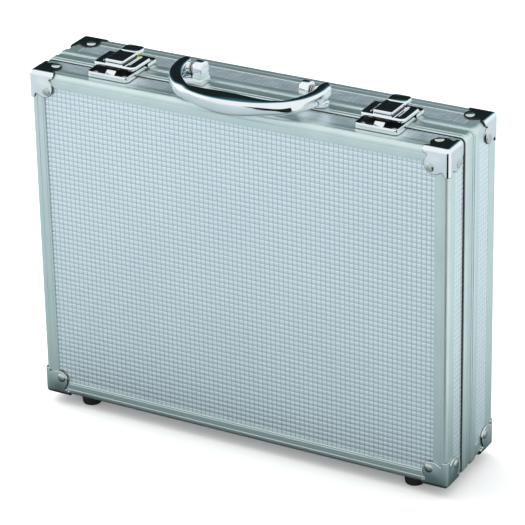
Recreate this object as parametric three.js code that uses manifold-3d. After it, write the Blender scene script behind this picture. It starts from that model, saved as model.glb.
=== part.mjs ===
// Aluminium art supply case, standing on its hinge edge as it does when it is carried or shelved.
// Two equal halves meet at a parting plane: the body half in front holds the handle, the latches and the
// foam insert, and the lid half behind it swings back on two knuckle hinges under the bottom edge.
// Millimetres. +X to the right, +Y to the rear, +Z up. The floor is z = 0 and x = 0 is the middle.
import * as THREE from "three";
import { mergeVertices } from "three/addons/utils/BufferGeometryUtils.js";
import Module from "manifold-3d";

const wasm = await Module();
wasm.setup();

// ---------------------------------------------------------------- driving dimensions
const CASE_W = 370; // outside of the edge trim
const CASE_H = 288;
const HALF_DEPTH = 42; // from the parting plane to a face
const FOOT_H = 10;
const GAP = 0.3; // between pieces that touch on the real case
const SPLIT_Y = 8.15; // the parting plane, so that y = 0 is the middle of the whole depth, handle included

const TRIM_T = 1.2; // wall of the L-shaped edge trim
const TRIM_FACE = 12; // its flange on the large face
const TRIM_SIDE = 9; // its flange on the narrow sides
const TRIM_ROUND = 2.6;
const CORNER_R = 6; // outline corner of the case
const PANEL_T = 3;
const PANEL_IN = TRIM_T + GAP; // how far a panel's skin lies under the trim's outside
const PANEL_END = CORNER_R + 1; // side panels stop this far short of the case corner

const RIM_W = 13.6; // frame profile at the parting plane, along y
const RIM_PROUD = 1.2;
const RIM_STEP = 0.8; // the channel along the parting line is this much lower
const RIM_STEP_W = 4.2;
const RIM_GROOVE_Y = 8.6;
const RIM_WEB = 4.5;
const RIM_IN = 6; // inside of the profile, from the case outline
const TONGUE_T = 1.4;
const TONGUE_H = 1.5;
const TONGUE_IN = 2.2; // from the case outline to the tongue's outer face
const SEAL_W = { body: 1.2, lid: 0.8 }; // black strip between side panels and frame
const SEAL_PROUD = 0.6;

const PLATE_LEG = 22; // corner plate, along each case edge
const PLATE_T = 0.9;
const PLATE_EAR = 3.6;
const RIVET_AT = 15;
const RIVET_R = 3.9;
const RIVET_H = 1.9;

const FOOT_R = 8.5;
const FOOT_X = 150.5;
const FOOT_Y = 27.7;
const FOOT_SPIGOT_R = 4.9;

const HINGE_X = 105;
const HINGE_L = 46;
const HINGE_R = 3;
const HINGE_PIN_R = 1.2;
const HINGE_DROP = 4.8; // hinge axis, below the case's bottom edge
const HINGE_LEAF_T = 1.2;

const LATCH_X = 119;
const LATCH_W = 37;
const LATCH_FRONT = 32.8; // in front of the parting plane
const LATCH_REAR = 15.8;
const LATCH_WALL = 6.6; // top of the trays' walls, above the case top
const SHEET = 1; // pressed steel of the latches
const LATCH_PIVOT_Y = -20.2;
const LATCH_PIVOT_UP = 6.4; // above the case top
const LATCH_PIN_R = 0.9;
const LEVER_FRONT = 21.5;
const LEVER_SIDES = 3.8; // the plate's side rails end this far behind the parting plane
const LEVER_TOP = 9.4;
const LEVER_LIP = 2.4;
const LEVER_ROUND = 4;
const PAD_W = 16.4; // the raised middle of the lever
const PAD_TOP = 13;
const TAB_W = 15;
const TAB_REAR = 12.8;
const HOOK_PIVOT_Y = -6;
const HOOK_PIVOT_UP = 10;
const HOOK_W = 9;
const KEEPER_BAR = 5.4; // its top, above the case top

const HANDLE_PIVOT_Y = -7.8;
const HANDLE_PIVOT_UP = 13.5;
// Centre line of half the bail, from the pivot to the middle of the grip.
const BAIL = [
  [62.4, 0], [62.2, -7], [60.8, -14], [57.6, -21.5], [52.6, -28.6], [43, -36.6], [22, -43.6], [0, -46],
];
const BAIL_DROOP = 5; // degrees that the resting grip hangs forward
const BAIL_T = 11.5; // section, in the bail's plane
const BAIL_HIGH = 12.4; // section, across it
const SWELL = [34, 7.6, 6.9]; // half sizes of the grip's swelling for the palm
const BRACKET_IN = 43;
const BRACKET_OUT = 66;
const POST_T = 8.5;
const BRACKET_D = 13.2;
const BRACKET_BASE = 6.6;
const HANDLE_PIN_R = 2;

const STAY_R = 58; // hinge axis to stay pivot, and length of each arm
const STAY_SPREAD = THREE.MathUtils.degToRad(12);
const STAY_ARM_W = 9;
const STAY_ARM_T = 1.5;
const STAY_STUD_R = 2;

const FOAM_X = 172;
const FOAM_Z = 134;
const FOAM_TOP = 8; // below the parting plane
const FOAM_POCKET = 22;
const PAD_T = 6;

const HALF_W = CASE_W / 2;
const HALF_H = CASE_H / 2;
const AXIS_Z = -HALF_H - HINGE_DROP;

// ---------------------------------------------------------------- materials
const finish = (color, roughness, metalness) =>
  new THREE.MeshStandardMaterial({ color, roughness, metalness });
const ALUMINIUM = finish(0xb9c6c8, 0.38, 1);
const EMBOSSED = finish(0xc3d2d8, 0.45, 0.6);
const CHROME = finish(0xdfe6ea, 0.08, 1);
const STEEL = finish(0xa8aca9, 0.3, 1);
const BLACK_SEAL = finish(0x101314, 0.5, 0);
const RUBBER = finish(0x0b0c0c, 0.7, 0);
const FOAM = finish(0x1c1d20, 0.95, 0);

// ---------------------------------------------------------------- solids
function solid(geometry) {
  const bare = geometry.index ? geometry.toNonIndexed() : geometry.clone();
  bare.deleteAttribute("normal");
  bare.deleteAttribute("uv");
  const merged = mergeVertices(bare, 1e-4);
  return new wasm.Manifold(
    new wasm.Mesh({
      numProp: 3,
      vertProperties: merged.attributes.position.array,
      triVerts: new Uint32Array(merged.index.array),
    }),
  );
}

function geometryOf(manifold) {
  const mesh = manifold.getMesh();
  const geometry = new THREE.BufferGeometry();
  geometry.setAttribute("position", new THREE.BufferAttribute(mesh.vertProperties, 3));
  geometry.setIndex(new THREE.BufferAttribute(mesh.triVerts, 1));
  geometry.computeVertexNormals();
  return geometry;
}

const join = (...parts) => parts.reduce((sum, part) => sum.add(part));
const cut = (from, ...parts) => parts.reduce((left, part) => left.subtract(part), from);

function block(x0, x1, y0, y1, z0, z1) {
  const box = new THREE.BoxGeometry(x1 - x0, y1 - y0, z1 - z0);
  return solid(box.translate((x0 + x1) / 2, (y0 + y1) / 2, (z0 + z1) / 2));
}

// A rod along x, from x0 to x1, centred on (y, z).
function rod(radius, x0, x1, y, z, sides = 20) {
  const cylinder = new THREE.CylinderGeometry(radius, radius, x1 - x0, sides);
  return solid(cylinder.rotateZ(Math.PI / 2).translate((x0 + x1) / 2, y, z));
}

function roundedRect(halfW, halfH, radius, shape = new THREE.Shape()) {
  shape.moveTo(halfW, -halfH + radius);
  shape.lineTo(halfW, halfH - radius);
  shape.absarc(halfW - radius, halfH - radius, radius, 0, Math.PI / 2);
  shape.lineTo(-halfW + radius, halfH);
  shape.absarc(-halfW + radius, halfH - radius, radius, Math.PI / 2, Math.PI);
  shape.lineTo(-halfW, -halfH + radius);
  shape.absarc(-halfW + radius, -halfH + radius, radius, Math.PI, 1.5 * Math.PI);
  shape.lineTo(halfW - radius, -halfH);
  shape.absarc(halfW - radius, -halfH + radius, radius, 1.5 * Math.PI, 2 * Math.PI);
  return shape;
}

// A shape drawn in x and z, extruded along y.
function alongY(shape, y0, y1, curveSegments = 3) {
  const made = new THREE.ExtrudeGeometry(shape, { depth: y1 - y0, bevelEnabled: false, curveSegments });
  return solid(made.rotateX(Math.PI / 2).translate(0, y1, 0));
}

// A shape drawn in x and y, extruded along z.
function alongZ(shape, z0, z1, curveSegments = 3) {
  const made = new THREE.ExtrudeGeometry(shape, { depth: z1 - z0, bevelEnabled: false, curveSegments });
  return solid(made.translate(0, 0, z0));
}

// A shape drawn in y and z, extruded along x.
function alongX(shape, x0, x1, curveSegments = 5) {
  const made = new THREE.ExtrudeGeometry(shape, { depth: x1 - x0, bevelEnabled: false, curveSegments });
  const yzx = new THREE.Matrix4().set(0, 0, 1, x0, 1, 0, 0, 0, 0, 1, 0, 0, 0, 0, 0, 1);
  return solid(made.applyMatrix4(yzx));
}

// A full slab of the case's outline, grown by `grow` and spanning y0 to y1.
function slab(grow, y0, y1) {
  const radius = Math.max(CORNER_R + grow, 0.5);
  return alongY(roundedRect(HALF_W + grow, HALF_H + grow, radius), y0, y1);
}

const ring = (outer, inner, y0, y1) => cut(slab(outer, y0, y1), slab(inner, y0 - 1, y1 + 1));

// The case's outline as a block whose front edge, at y0, is rounded.
function roundedSlab(grow, round, y0, y1) {
  const shape = roundedRect(HALF_W + grow - round, HALF_H + grow - round, CORNER_R + grow - round);
  const made = new THREE.ExtrudeGeometry(shape, {
    depth: 2 * (y1 - y0),
    bevelEnabled: true,
    bevelSize: round,
    bevelThickness: round,
    bevelSegments: 2,
    curveSegments: 3,
  });
  const whole = solid(made.rotateX(-Math.PI / 2).translate(0, y0 + round, 0));
  return whole.intersect(block(-HALF_W - 5, HALF_W + 5, y0 - 1, y1, -HALF_H - 5, HALF_H + 5));
}

// ---------------------------------------------------------------- one half of the shell
// Each piece is made for the front half, with its face at y = -HALF_DEPTH and the parting plane at y = 0.
function facePanel() {
  const halfW = HALF_W - PANEL_IN - PANEL_T - GAP;
  const halfH = HALF_H - PANEL_IN - PANEL_T - GAP;
  return alongY(
    roundedRect(halfW, halfH, 2),
    -HALF_DEPTH + PANEL_IN,
    -HALF_DEPTH + PANEL_IN + PANEL_T,
  );
}

const PANEL_FRONT = -HALF_DEPTH + PANEL_IN + 1; // clear of the rounding inside the trim
const PANEL_REAR = -RIM_WEB - GAP;

function sidePanel(side) {
  const outside = HALF_W - PANEL_IN;
  return block(
    Math.min(side * outside, side * (outside - PANEL_T)),
    Math.max(side * outside, side * (outside - PANEL_T)),
    PANEL_FRONT,
    PANEL_REAR,
    -HALF_H + PANEL_END,
    HALF_H - PANEL_END,
  );
}

function levelPanel(side) {
  const outside = HALF_H - PANEL_IN;
  return block(
    -HALF_W + PANEL_END,
    HALF_W - PANEL_END,
    PANEL_FRONT,
    PANEL_REAR,
    Math.min(side * outside, side * (outside - PANEL_T)),
    Math.max(side * outside, side * (outside - PANEL_T)),
  );
}

// L-profile round the large face, with a corner post down each depth edge to the seal.
function edgeTrim(half) {
  const rear = -RIM_W - SEAL_W[half] - 2 * GAP;
  const shell = cut(
    roundedSlab(0, TRIM_ROUND, -HALF_DEPTH, rear),
    roundedSlab(-TRIM_T, TRIM_ROUND - TRIM_T, -HALF_DEPTH + TRIM_T, rear + 1),
    block(
      -HALF_W + TRIM_FACE,
      HALF_W - TRIM_FACE,
      -HALF_DEPTH - 1,
      rear + 1,
      -HALF_H + TRIM_FACE,
      HALF_H - TRIM_FACE,
    ),
  );
  const from = -HALF_DEPTH + TRIM_SIDE;
  return cut(
    shell,
    block(-HALF_W + TRIM_FACE, HALF_W - TRIM_FACE, from, rear + 1, -HALF_H - 1, HALF_H + 1),
    block(-HALF_W - 1, HALF_W + 1, from, rear + 1, -HALF_H + TRIM_FACE, HALF_H - TRIM_FACE),
  );
}

// Frame profile: a U that grips the side panels' edges, with a stepped and grooved outside.
function rim(hasTongue) {
  const front = -RIM_W;
  const rear = -GAP / 2;
  const low = RIM_PROUD - RIM_STEP;
  const outside = join(
    ring(RIM_PROUD - 0.7, -RIM_IN, front, rear),
    ring(RIM_PROUD, -RIM_IN, front + 0.8, -RIM_GROOVE_Y - 0.4),
    ring(RIM_PROUD, -RIM_IN, -RIM_GROOVE_Y + 0.4, -RIM_STEP_W),
    ring(low, -RIM_IN, -RIM_STEP_W - 0.5, rear),
  );
  const slot = ring(-TRIM_T, -RIM_IN + TRIM_T, front - 1, -RIM_WEB);
  const step = ring(RIM_PROUD + 1, low, -RIM_STEP_W, rear + 1);
  const profile = cut(outside, slot, step);
  const from = -TONGUE_IN;
  if (hasTongue) return profile.add(ring(from, from - TONGUE_T, -1, TONGUE_H));
  return cut(profile, ring(from + GAP, from - TONGUE_T - GAP, -TONGUE_H - 2 * GAP, 1));
}

function panelSeal(half) {
  return ring(SEAL_PROUD, -TRIM_T, -RIM_W - GAP - SEAL_W[half], -RIM_W - GAP);
}

// Outline of one face of a corner plate: an ear along each case edge and a round lobe under the rivet.
function plateOutline() {
  const out = 3; // past the case edge
  const lobe = 8.4;
  const centre = 12.4;
  const shape = new THREE.Shape();
  shape.moveTo(-out, -out);
  shape.lineTo(PLATE_LEG - 1.4, -out);
  shape.lineTo(PLATE_LEG, PLATE_EAR - 1.4);
  shape.quadraticCurveTo(PLATE_LEG - 0.6, PLATE_EAR + 1.4, PLATE_LEG - 3.2, PLATE_EAR + 1.2);
  shape.lineTo(PLATE_LEG - 5, PLATE_EAR + 2.6);
  shape.absarc(centre, centre, lobe, -0.72, Math.PI / 2 + 0.72);
  shape.lineTo(PLATE_EAR + 2.6, PLATE_LEG - 5);
  shape.lineTo(PLATE_EAR + 1.2, PLATE_LEG - 3.2);
  shape.quadraticCurveTo(PLATE_EAR + 1.4, PLATE_LEG - 0.6, PLATE_EAR - 1.4, PLATE_LEG);
  shape.lineTo(-out, PLATE_LEG - 1.4);
  return shape;
}

// A domed rivet head standing on z = 0.
function rivetHead(radius = RIVET_R, height = RIVET_H, sides = 12) {
  const dome = [new THREE.Vector2(0, -0.6), new THREE.Vector2(radius, -0.6)];
  const steps = 3;
  for (let i = 0; i <= steps; i++) {
    const a = (i / steps) * (Math.PI / 2);
    dome.push(new THREE.Vector2(i === steps ? 0 : radius * Math.cos(a), height * Math.sin(a)));
  }
  return solid(new THREE.LatheGeometry(dome, sides).rotateX(Math.PI / 2));
}

// Plate for the front, top, right corner of the front half, with its three rivets.
function cornerPlate() {
  const outside = GAP + PLATE_T;
  const reach = PLATE_LEG + 4;
  const y0 = -HALF_DEPTH;
  const shell = cut(
    roundedSlab(outside, TRIM_ROUND + outside, y0 - outside, y0 + reach),
    roundedSlab(GAP, TRIM_ROUND + GAP, y0 - GAP, y0 + reach + 1),
  ).intersect(block(HALF_W - reach, HALF_W + 3, y0 - 3, y0 + reach, HALF_H - reach, HALF_H + 3));
  const deep = PLATE_EAR;
  const outline = plateOutline();
  const corner = new THREE.Vector3(HALF_W, y0, HALF_H);
  const prism = (xAxis, yAxis, zAxis) => {
    const made = new THREE.ExtrudeGeometry(outline, {
      depth: deep + 3,
      bevelEnabled: false,
      curveSegments: 4,
    });
    made.translate(0, 0, -3);
    made.applyMatrix4(new THREE.Matrix4().makeBasis(xAxis, yAxis, zAxis).setPosition(corner));
    return solid(made);
  };
  const left = new THREE.Vector3(-1, 0, 0);
  const rear = new THREE.Vector3(0, 1, 0);
  const down = new THREE.Vector3(0, 0, -1);
  const faces = join(
    prism(down, left, rear),
    prism(left, rear, down),
    prism(rear, down, left),
  );
  const head = rivetHead();
  const onTop = head.translate([HALF_W - RIVET_AT, y0 + RIVET_AT, HALF_H + outside]);
  const onFace = head.rotate([90, 0, 0]).translate([HALF_W - RIVET_AT, y0 - outside, HALF_H - RIVET_AT]);
  const onSide = head.rotate([0, 90, 0]).translate([HALF_W + outside, y0 + RIVET_AT, HALF_H - RIVET_AT]);
  return join(shell.intersect(faces), onTop, onFace, onSide);
}

function foot() {
  const profile = [
    new THREE.Vector2(0, 0),
    new THREE.Vector2(FOOT_R - 2.2, 0),
    new THREE.Vector2(FOOT_R - 0.8, 0.8),
    new THREE.Vector2(FOOT_R - 0.2, 2.4),
    new THREE.Vector2(FOOT_R, FOOT_H - GAP),
    new THREE.Vector2(FOOT_SPIGOT_R, FOOT_H - GAP),
    new THREE.Vector2(FOOT_SPIGOT_R, FOOT_H + PANEL_IN - GAP),
    new THREE.Vector2(0, FOOT_H + PANEL_IN - GAP),
  ];
  return solid(new THREE.LatheGeometry(profile, 24).rotateX(Math.PI / 2));
}

// ---------------------------------------------------------------- hinges
const HINGE_THIRD = HINGE_L / 3;

// The leaf under the front half has the two outer knuckles, and the one under the rear half the middle one.
function hingeLeaf(isBody) {
  const half = HINGE_L / 2;
  const leafTop = HINGE_R;
  const clear = HINGE_R + 2 * GAP;
  const leaf = block(-half, half, 0, RIM_W - 0.6, leafTop - HINGE_LEAF_T, leafTop);
  const spans = isBody
    ? [[-half, -HINGE_THIRD / 2 - GAP], [HINGE_THIRD / 2 + GAP, half]]
    : [[-HINGE_THIRD / 2 + GAP, HINGE_THIRD / 2 - GAP]];
  const notches = isBody
    ? [[-HINGE_THIRD / 2 - GAP, HINGE_THIRD / 2 + GAP]]
    : [[-half - 1, -HINGE_THIRD / 2 + GAP], [HINGE_THIRD / 2 - GAP, half + 1]];
  let made = leaf;
  for (const [x0, x1] of notches) made = made.subtract(block(x0, x1, -1, clear, -5, 5));
  for (const [x0, x1] of spans) made = made.add(rod(HINGE_R, x0, x1, 0, 0));
  const bored = made.subtract(rod(HINGE_PIN_R + GAP, -half - 1, half + 1, 0, 0, 16));
  return isBody ? bored.mirror([0, 1, 0]) : bored;
}

function hingePin() {
  const half = HINGE_L / 2;
  const head = rod(HINGE_R - 0.7, 0, 1, 0, 0, 16);
  return join(
    rod(HINGE_PIN_R, -half - 0.6, half + 0.6, 0, 0, 16),
    head.translate([half + GAP, 0, 0]),
    head.translate([-half - GAP - 1, 0, 0]),
  );
}

// ---------------------------------------------------------------- latches
// Local frame: x = 0 at the latch's middle, y = 0 at the parting plane, z = 0 at the case top.
const SEAT = RIM_PROUD + GAP; // trays stand on the frame profile

// A pan with a wall on three sides, open towards the parting plane. `length` runs towards -y.
function tray(length, wallBottom) {
  const half = LATCH_W / 2;
  const outline = (inset) => {
    const shape = roundedRect(half - inset, length, 3 - inset);
    return alongZ(shape, -5, 20);
  };
  const open = block(-half - 1, half + 1, -length - 1, -GAP, -5, 20);
  const skirtEnd = -RIM_W - SEAL_W.body - 2 * GAP;
  const walls = cut(outline(0), outline(SHEET)).intersect(open);
  const tall = walls.intersect(block(-half, half, -length, 0, SEAT, LATCH_WALL));
  const skirt = walls.intersect(block(-half, half, -length, skirtEnd, wallBottom, SEAT + 0.5));
  const floor = outline(0).intersect(open).intersect(block(-half, half, -length, 0, SEAT, SEAT + SHEET));
  return wallBottom < SEAT ? join(tall, skirt, floor) : join(tall, floor);
}

// An eye standing on `foot` that carries the latch pin.
function latchEye(x, foot, radius) {
  const eye = new THREE.Shape();
  eye.moveTo(LATCH_PIVOT_Y - radius, LATCH_PIVOT_UP);
  eye.absarc(LATCH_PIVOT_Y, LATCH_PIVOT_UP, radius, Math.PI, 2 * Math.PI, foot < LATCH_PIVOT_UP);
  eye.lineTo(LATCH_PIVOT_Y + radius - 0.2, foot);
  eye.lineTo(LATCH_PIVOT_Y - radius + 0.2, foot);
  return alongX(eye, x, x + SHEET, 4);
}

const latchBore = () => rod(LATCH_PIN_R + GAP, -20, 20, LATCH_PIVOT_Y, LATCH_PIVOT_UP, 12);

function latchBase() {
  const floorTop = SEAT + SHEET;
  const eyes = [-16.6, 15.6].map((x) => latchEye(x, floorTop - 0.5, 1.7).subtract(latchBore()));
  const rivets = [-13.4, 13.4].map((x) =>
    rivetHead(2.6, 1.3, 10).translate([x, -LATCH_FRONT + 5.2, floorTop]),
  );
  return join(tray(LATCH_FRONT, GAP), ...eyes, ...rivets);
}

function keeper() {
  const floorTop = SEAT + SHEET;
  const pan = tray(LATCH_REAR, SEAT).mirror([0, 1, 0]);
  const bar = block(-6, 6, 3.2, 5.2, floorTop - 0.2, KEEPER_BAR);
  const rivets = [-13.4, 13.4].map((x) =>
    rivetHead(2.6, 1.3, 10).translate([x, LATCH_REAR - 4.6, floorTop]),
  );
  return join(pan, bar, ...rivets);
}

const latchPin = () => rod(LATCH_PIN_R, -17, 17, LATCH_PIVOT_Y, LATCH_PIVOT_UP, 12);

// Torsion spring round a pin along x.
function coil(radius, wire, x0, x1, turns, y, z) {
  class Helix extends THREE.Curve {
    getPoint(t, target = new THREE.Vector3()) {
      const a = t * turns * 2 * Math.PI;
      return target.set(x0 + (x1 - x0) * t, y + radius * Math.cos(a), z + radius * Math.sin(a));
    }
  }
  const section = new THREE.Shape().absarc(0, 0, wire / 2, 0, 2 * Math.PI);
  const made = new THREE.ExtrudeGeometry(section, {
    steps: turns * 9,
    curveSegments: 3,
    extrudePath: new Helix(),
  });
  return solid(made);
}

// The pressed lever: a plate with lips turned down at the sides, a raised middle and a finger tab.
function lever() {
  const half = LATCH_W / 2 - 0.7;
  const length = LEVER_FRONT + LEVER_SIDES;
  const middle = (LEVER_SIDES - LEVER_FRONT) / 2;
  const outline = (inset, z0, z1) => {
    const shape = roundedRect(half - inset, length / 2 - inset, LEVER_ROUND - inset);
    return alongZ(shape, z0, z1).translate([0, middle, 0]);
  };
  const lipless = -LEVER_FRONT + LEVER_ROUND;
  const plate = cut(
    outline(0, LEVER_TOP - LEVER_LIP, LEVER_TOP),
    outline(SHEET, LEVER_TOP - LEVER_LIP - 1, LEVER_TOP - SHEET),
    block(-half - 1, half + 1, LEVER_SIDES - SHEET - 0.1, LEVER_SIDES + 1, 0, LEVER_TOP - SHEET),
    block(-half - 1, half + 1, -LEVER_FRONT - 1, lipless, 0, LEVER_TOP - SHEET),
    block(-half + 6, half - 6, 0.4, LEVER_SIDES + 1, 0, 20),
  );
  const wide = PAD_W / 2;
  const front = -LEVER_FRONT + 2;
  const low = LEVER_TOP - SHEET;
  const pad = block(-wide, wide, front, 0.4, low, PAD_TOP);
  const tab = block(-TAB_W / 2, TAB_W / 2, 0, TAB_REAR, PAD_TOP - 2.2, PAD_TOP);
  const hollows = [
    block(-wide + SHEET, wide - SHEET, front + SHEET, 1, low - 1, PAD_TOP - SHEET),
    block(-TAB_W / 2 + SHEET, TAB_W / 2 - SHEET, -1, TAB_REAR - SHEET, 0, PAD_TOP - SHEET),
    block(-wide, wide, -0.1, 0.5, PAD_TOP - 0.4, PAD_TOP + 1),
  ];
  const eyes = [-14.8, 13.8].map((x) => latchEye(x, LEVER_TOP - 0.5, 1.7));
  const bores = [latchBore(), rod(1 + GAP, -20, 20, HOOK_PIVOT_Y, HOOK_PIVOT_UP, 12)];
  return cut(join(cut(join(plate, pad, tab), ...hollows), ...eyes), ...bores);
}

// The hook under the lever, on stub pins in the walls of the raised middle. Its nose lies over the keeper.
function hook() {
  const half = HOOK_W / 2;
  const top = HOOK_PIVOT_UP + 0.4;
  return join(
    rod(1, -PAD_W / 2 + 0.2, PAD_W / 2 - 0.2, HOOK_PIVOT_Y, HOOK_PIVOT_UP, 12),
    block(-half, half, HOOK_PIVOT_Y, 6.9, top - SHEET, top),
    block(-half, half, 5.9, 6.9, KEEPER_BAR + GAP + 0.1, top),
  );
}

// ---------------------------------------------------------------- handle
// Local frame: x = 0 at the middle of the case, y and z from the handle's pivot.
const BASE_LOW = SEAT - HANDLE_PIVOT_UP;

function bracket() {
  const half = BRACKET_D / 2;
  const base = block(BRACKET_IN, BRACKET_OUT, -half, half, BASE_LOW, BASE_LOW + BRACKET_BASE - 1.5);
  const post = new THREE.Shape();
  post.moveTo(half, BASE_LOW);
  post.lineTo(half, 0);
  post.absarc(0, 0, half, 0, Math.PI);
  post.lineTo(-half, BASE_LOW);
  const upright = alongX(post, BRACKET_IN, BRACKET_IN + POST_T, 8);
  const bore = rod(HANDLE_PIN_R + GAP, 0, 100, 0, 0, 16);
  return join(base, upright).subtract(bore);
}

const handlePin = () => rod(HANDLE_PIN_R, BRACKET_IN + 0.5, BRACKET_OUT + 0.8, 0, 0, 16);

// The bail reaches towards -y, lying forward over the case's front edge.
function handle() {
  const left = BAIL.map(([x, y]) => new THREE.Vector3(-x, y, 0));
  const right = BAIL.slice(0, -1).reverse().map(([x, y]) => new THREE.Vector3(x, y, 0));
  const section = new THREE.Shape().absellipse(0, 0, BAIL_HIGH / 2, BAIL_T / 2, 0, 2 * Math.PI);
  const bail = new THREE.ExtrudeGeometry(section, {
    steps: 32,
    curveSegments: 6,
    extrudePath: new THREE.CatmullRomCurve3([...left, ...right]),
  });
  const swell = new THREE.SphereGeometry(1, 20, 10).rotateZ(Math.PI / 2).scale(...SWELL);
  const eye = rod(6, BRACKET_IN + POST_T + 4.4, BRACKET_OUT + 0.4, 0, 0, 18);
  const grip = join(solid(bail), solid(swell.translate(0, BAIL.at(-1)[1], 0))).rotate([BAIL_DROOP, 0, 0]);
  const bored = join(grip, eye, eye.mirror([1, 0, 0]));
  return bored.subtract(rod(HANDLE_PIN_R + GAP, -80, 80, 0, 0, 16));
}

// ---------------------------------------------------------------- lid stays
// Local frame: y from the parting plane and z from the hinge axis. The two pivots, the knee and the hinge
// axis make a rhombus, so each arm turns as far as the lid does.
const STAY_Y = STAY_R * Math.sin(STAY_SPREAD);
const STAY_Z = STAY_R * Math.cos(STAY_SPREAD);
const STAY_X = 174.2; // inner face of the lid arm

function arm(x0, y, z) {
  const length = Math.hypot(y, STAY_Z * 2 - z);
  const shape = new THREE.Shape();
  shape.absarc(0, 0, STAY_ARM_W / 2, Math.PI, 2 * Math.PI);
  shape.absarc(0, length, STAY_ARM_W / 2, 0, Math.PI);
  const flat = alongX(shape, x0, x0 + STAY_ARM_T, 6);
  const lean = THREE.MathUtils.radToDeg(Math.atan2(y, STAY_Z * 2 - z));
  return flat.rotate([lean, 0, 0]).translate([0, y, z]);
}

function stayBodyArm() {
  const x0 = STAY_X + STAY_ARM_T + GAP;
  const wall = HALF_W - RIM_IN - GAP;
  const knee = 2 * STAY_Z;
  return join(
    arm(x0, -STAY_Y, STAY_Z),
    rod(4, x0 + STAY_ARM_T - 0.2, wall, -STAY_Y, STAY_Z),
    rod(STAY_STUD_R, STAY_X - 1, x0 + 0.5, 0, knee, 16),
    rod(3.2, STAY_X - 1.3, STAY_X - GAP, 0, knee),
  );
}

function stayLidArm() {
  const bore = rod(STAY_STUD_R + GAP, STAY_X - 1, STAY_X + 3, 0, 0, 16);
  return cut(
    arm(STAY_X, STAY_Y, STAY_Z),
    bore.translate([0, STAY_Y, STAY_Z]),
    bore.translate([0, 0, 2 * STAY_Z]),
  );
}

function stayLidStud() {
  const wall = HALF_W - RIM_IN - GAP;
  return join(
    rod(4, wall - 1, wall, STAY_Y, STAY_Z),
    rod(STAY_STUD_R, STAY_X - 1, wall, STAY_Y, STAY_Z, 16),
    rod(3.2, STAY_X - 1.3, STAY_X - GAP, STAY_Y, STAY_Z),
  );
}

// ---------------------------------------------------------------- inside
// Pockets for brushes, a palette, paint tubes and small tools: x0, x1, z0, z1.
const POCKETS = [
  [-160, 160, 84, 124],
  [-160, -40, -30, 68],
  [-24, 160, -30, 68],
  [-160, -62, -122, -46],
  [-46, 52, -122, -46],
  [68, 160, -122, -46],
];

function foamInsert() {
  const bottom = -HALF_DEPTH + PANEL_IN + PANEL_T + GAP;
  const whole = block(-FOAM_X, FOAM_X, bottom, -FOAM_TOP, -FOAM_Z, FOAM_Z);
  const pockets = POCKETS.map(([x0, x1, z0, z1]) => {
    const shape = roundedRect((x1 - x0) / 2, (z1 - z0) / 2, 6);
    const hole = alongY(shape, -FOAM_TOP - FOAM_POCKET, 0, 3);
    return hole.translate([(x0 + x1) / 2, 0, (z0 + z1) / 2]);
  });
  return cut(whole, ...pockets);
}

function lidPad() {
  const rear = HALF_DEPTH - PANEL_IN - PANEL_T - GAP;
  return alongY(roundedRect(HALF_W - 7, HALF_H - 7, 3), rear - PAD_T, rear, 3);
}

// ---------------------------------------------------------------- assembly
const part = new THREE.Group();
const shell = new THREE.Group(); // origin at the parting plane, the case's middle height
shell.position.set(0, SPLIT_Y, FOOT_H + HALF_H);
part.add(shell);

function place(name, made, material, parent = shell) {
  const mesh = new THREE.Mesh(geometryOf(made), material);
  mesh.name = name;
  parent.add(mesh);
  return mesh;
}

for (const [half, way] of [["body", 1], ["lid", -1]]) {
  const side = new THREE.Group();
  side.scale.y = way; // the lid half is the body half, mirrored in the parting plane
  shell.add(side);
  place(`${half}_face_panel`, facePanel(), EMBOSSED, side);
  place(`${half}_left_panel`, sidePanel(-1), EMBOSSED, side);
  place(`${half}_right_panel`, sidePanel(1), EMBOSSED, side);
  place(`${half}_top_panel`, levelPanel(1), EMBOSSED, side);
  place(`${half}_bottom_panel`, levelPanel(-1), EMBOSSED, side);
  place(`${half}_edge_trim`, edgeTrim(half), ALUMINIUM, side);
  place(`${half}_frame_profile`, rim(half === "lid"), ALUMINIUM, side);
  place(`${half}_panel_seal`, panelSeal(half), BLACK_SEAL, side);
  for (const [across, sx] of [["left", -1], ["right", 1]]) {
    for (const [level, sz] of [["top", 1], ["bottom", -1]]) {
      const plate = place(`${half}_corner_${level}_${across}`, cornerPlate(), CHROME, side);
      plate.scale.set(sx, 1, sz);
    }
    const pad = place(`${half}_foot_${across}`, foot(), RUBBER, side);
    pad.position.set(sx * FOOT_X, -FOOT_Y, -HALF_H - FOOT_H);
  }
}

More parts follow.
